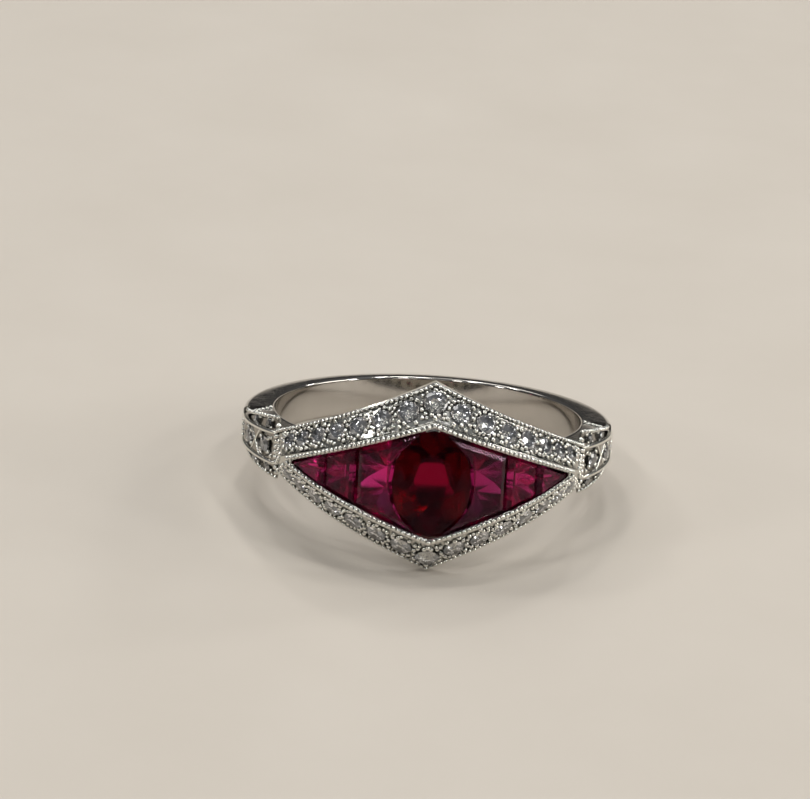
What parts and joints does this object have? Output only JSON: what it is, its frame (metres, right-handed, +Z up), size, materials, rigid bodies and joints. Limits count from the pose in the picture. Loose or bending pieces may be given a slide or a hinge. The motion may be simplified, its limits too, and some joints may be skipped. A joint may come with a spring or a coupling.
{
  "type": "cocktail ring",
  "caption": "Finger ring with a curved lozenge head: channel-set red stones inside a bevelled border of small clear stones, leaf-set shoulders and a plain band that thins to the back.",
  "frame": {"origin": "middle of the finger hole, halfway across the band", "axes": "+Z is up with the ring lying on its side on a table, -Y is the way the head faces, +X runs along the head to its right-hand shoulder; the finger hole leans 11.8 degrees from +Z"},
  "size_m": [0.0206, 0.0219, 0.0101],
  "materials": {
    "platinum": "polished",
    "ruby": "polished",
    "diamond": "polished"
  },
  "bodies": {
    "root": {"shank": "platinum", "left_shoulder": "platinum", "right_shoulder": "platinum", "head_frame": "platinum", "ruby_channel": "platinum", "upper_gallery": "platinum", "lower_gallery": "platinum", "ruby_milgrain": "platinum", "border_milgrain": "platinum", "shoulder_milgrain": "platinum", "setting_grains": "platinum", "center_ruby": "ruby", "left_inner_ruby": "ruby", "left_middle_ruby": "ruby", "left_tip_ruby": "ruby", "right_inner_ruby": "ruby", "right_middle_ruby": "ruby", "right_tip_ruby": "ruby", "upper_point_diamond": "diamond", "lower_point_diamond": "diamond", "upper_left_diamond_1": "diamond", "upper_left_diamond_2": "diamond", "upper_left_diamond_3": "diamond", "upper_left_diamond_4": "diamond", "upper_left_diamond_5": "diamond", "upper_left_diamond_6": "diamond", "upper_left_diamond_7": "diamond", "upper_right_diamond_1": "diamond", "upper_right_diamond_2": "diamond", "upper_right_diamond_3": "diamond", "upper_right_diamond_4": "diamond", "upper_right_diamond_5": "diamond", "upper_right_diamond_6": "diamond", "upper_right_diamond_7": "diamond", "lower_left_diamond_1": "diamond", "lower_left_diamond_2": "diamond", "lower_left_diamond_3": "diamond", "lower_left_diamond_4": "diamond", "lower_left_diamond_5": "diamond", "lower_left_diamond_6": "diamond", "lower_left_diamond_7": "diamond", "lower_right_diamond_1": "diamond", "lower_right_diamond_2": "diamond", "lower_right_diamond_3": "diamond", "lower_right_diamond_4": "diamond", "lower_right_diamond_5": "diamond", "lower_right_diamond_6": "diamond", "lower_right_diamond_7": "diamond", "left_shoulder_diamond_1": "diamond", "left_shoulder_diamond_2": "diamond", "right_shoulder_diamond_1": "diamond", "right_shoulder_diamond_2": "diamond", "left_leaf_diamonds": "diamond", "right_leaf_diamonds": "diamond"}
  },
  "joints": []
}
